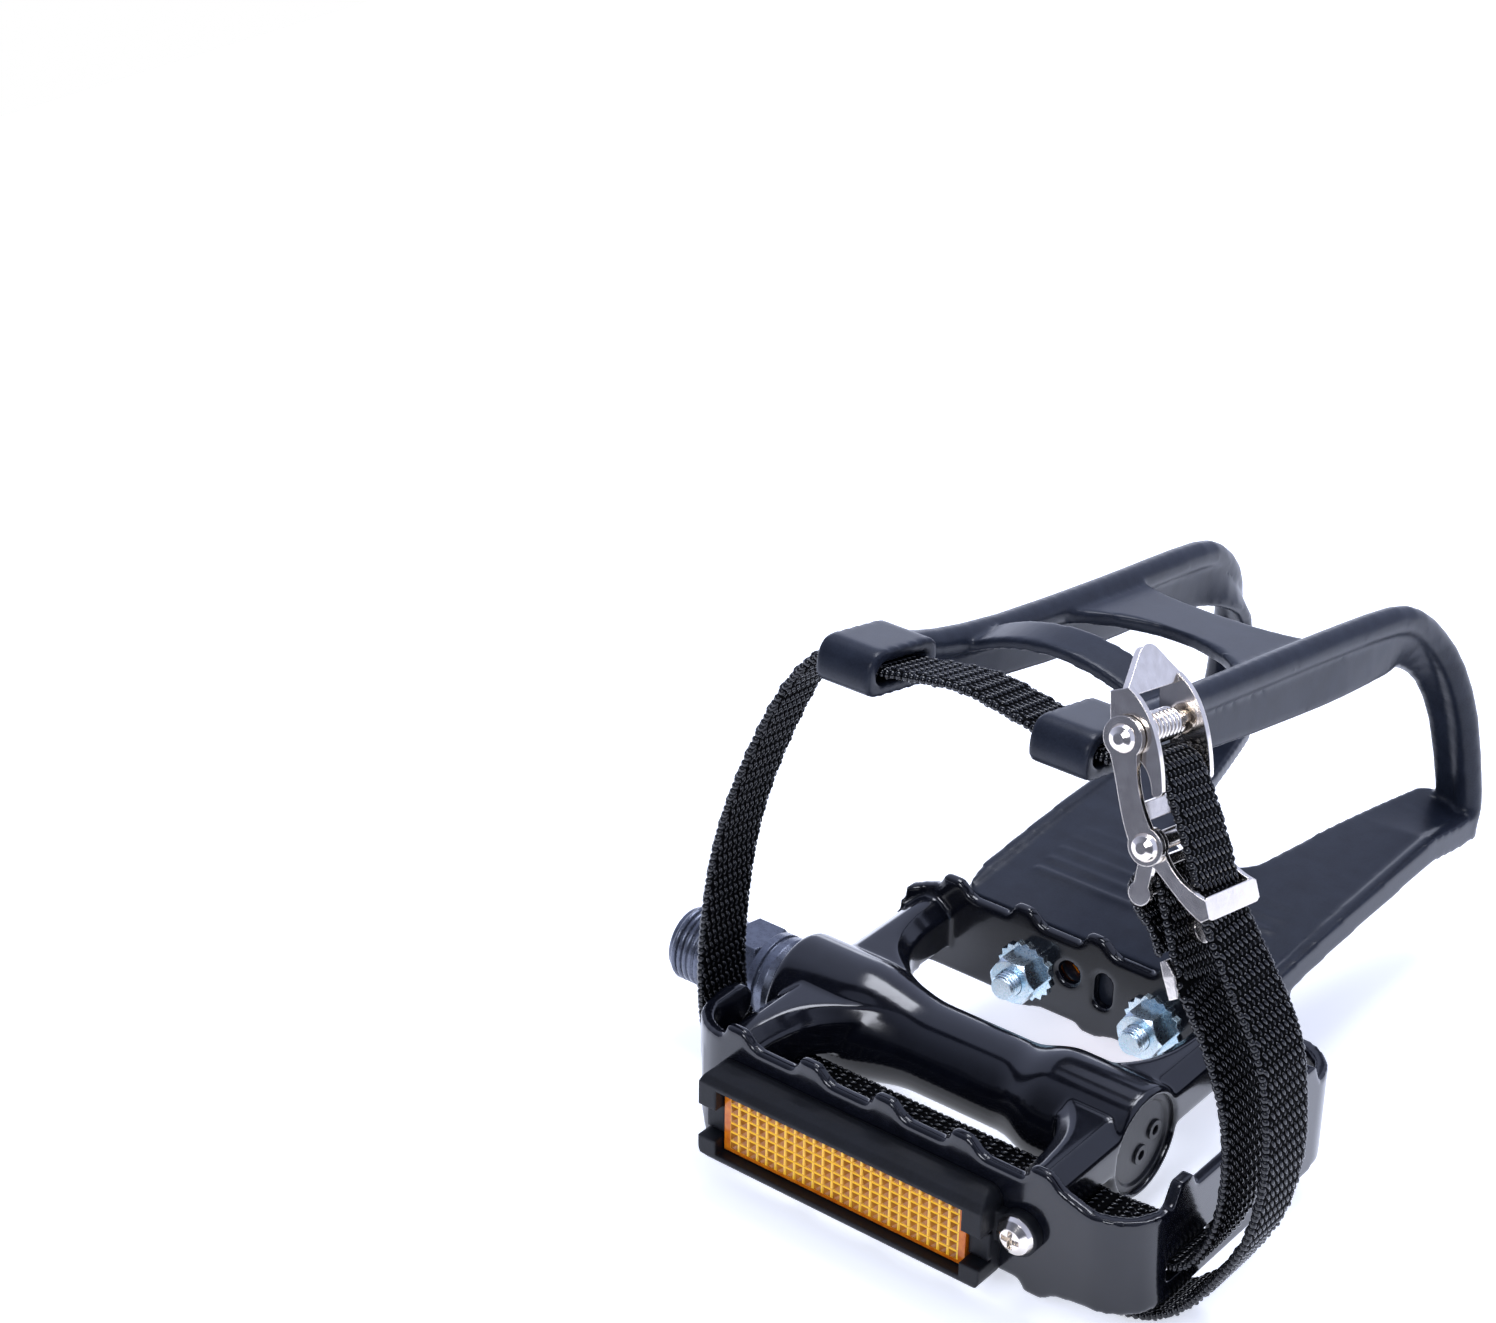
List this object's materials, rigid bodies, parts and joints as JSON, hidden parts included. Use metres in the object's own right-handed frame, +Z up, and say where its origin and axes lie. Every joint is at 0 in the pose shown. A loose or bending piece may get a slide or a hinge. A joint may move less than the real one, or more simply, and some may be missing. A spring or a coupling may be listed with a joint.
{
  "type": "bicycle pedal with toe clip",
  "caption": "Right-hand cage pedal on a threaded spindle, with a moulded toe clip, woven strap, cam buckle and amber reflectors.",
  "frame": {"origin": "on the axle axis at the crank seat, where the thread meets the hexagon", "axes": "+X outward along the axle from the crank, +Y forward towards the toe, +Z up"},
  "size_m": [0.1323, 0.1563, 0.112],
  "materials": {
    "black_steel": "satin black steel",
    "bearing_steel": "ground steel",
    "black_paint": "gloss black paint on a die casting",
    "seal_rubber": "matte",
    "cap_resin": "semi-gloss black resin",
    "housing_resin": "semi-gloss black resin",
    "amber": "clear amber reflector",
    "bright_nickel": "bright nickel plated steel",
    "clip_resin": "matte black nylon resin",
    "zinc": "blue-white zinc plate",
    "webbing": "woven nylon"
  },
  "bodies": {
    "spindle": {"spindle": "black_steel", "outer_cone": "bearing_steel", "lock_washer": "bearing_steel", "lock_nut": "bearing_steel"},
    "pedal": {"pedal_body": "black_paint", "inner_seal": "seal_rubber", "inner_cup": "bearing_steel", "inner_balls": "bearing_steel", "outer_cup": "bearing_steel", "outer_balls": "bearing_steel", "dust_cap": "cap_resin", "rear_reflector_housing": "housing_resin", "rear_reflector_lens": "amber", "rear_reflector_screw": "bright_nickel", "front_reflector": "amber", "toe_clip": "clip_resin", "clip_bolts": "zinc", "clip_nuts": "zinc", "clip_washers": "zinc", "strap": "webbing", "strap_rivet": "bright_nickel", "strap_end_clip": "bright_nickel", "buckle_frame": "bright_nickel", "buckle_upper_pin": "bright_nickel", "buckle_lower_pin": "bright_nickel", "buckle_spring": "bright_nickel"},
    "lever": {"buckle_lever": "bright_nickel"},
    "keeper": {"buckle_keeper": "bright_nickel"}
  },
  "joints": [
    {"name": "pedal_spin", "type": "hinge", "parent": "spindle", "child": "pedal", "pos_m": [0.05, 0, 0], "axis": [1, 0, 0], "continuous": true},
    {"name": "buckle_lever_hinge", "type": "hinge", "parent": "pedal", "child": "lever", "pos_m": [0.0866, -0.0096, 0.0836], "axis": [-0.0001, 0.9759, -0.218], "range_deg": [0, 45], "stiffness_Nm_per_rad": 0.01, "springref_deg": -20.05, "deforming": ["buckle_spring"]},
    {"name": "buckle_keeper_hinge", "type": "hinge", "parent": "pedal", "child": "keeper", "pos_m": [0.09392, -0.0129, 0.06884], "axis": [-0.0001, 0.9759, -0.218], "range_deg": [-12, 12], "deforming": ["strap"]}
  ]
}
